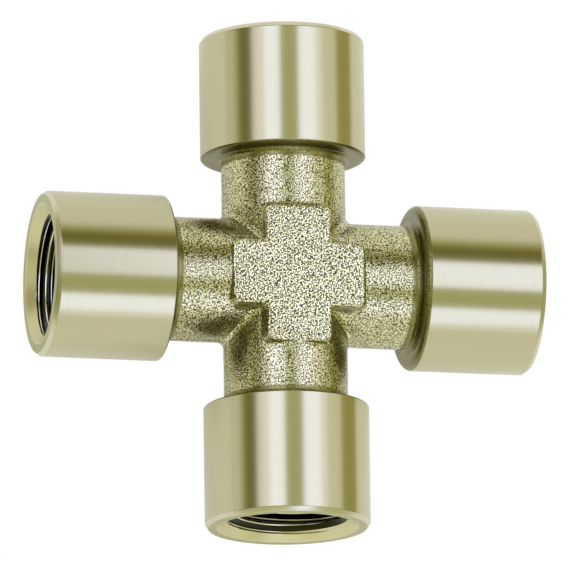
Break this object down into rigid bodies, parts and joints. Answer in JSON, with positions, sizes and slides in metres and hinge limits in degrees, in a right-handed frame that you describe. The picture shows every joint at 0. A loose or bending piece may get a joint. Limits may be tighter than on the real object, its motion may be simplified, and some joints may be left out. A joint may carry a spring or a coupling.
{
  "type": "cross fitting",
  "caption": "Equal cross pipe fitting: a blasted forged centre with a raised cross-shaped pad, and bright turned sockets with internal pipe threads.",
  "frame": {"origin": "where the axes of the two runs cross, which is the centre of the bounding box", "axes": "+X out of the right port, +Y out of the upper port, +Z square to the plane of the four ports; the fitting lies flat on its sockets"},
  "size_m": [0.052, 0.052, 0.0172],
  "materials": {
    "blasted_brass": "forged and shot-blasted",
    "turned_brass": "turned, bright"
  },
  "bodies": {
    "root": {"forged_body": "blasted_brass", "left_socket": "turned_brass", "right_socket": "turned_brass", "upper_socket": "turned_brass", "lower_socket": "turned_brass"}
  },
  "joints": []
}
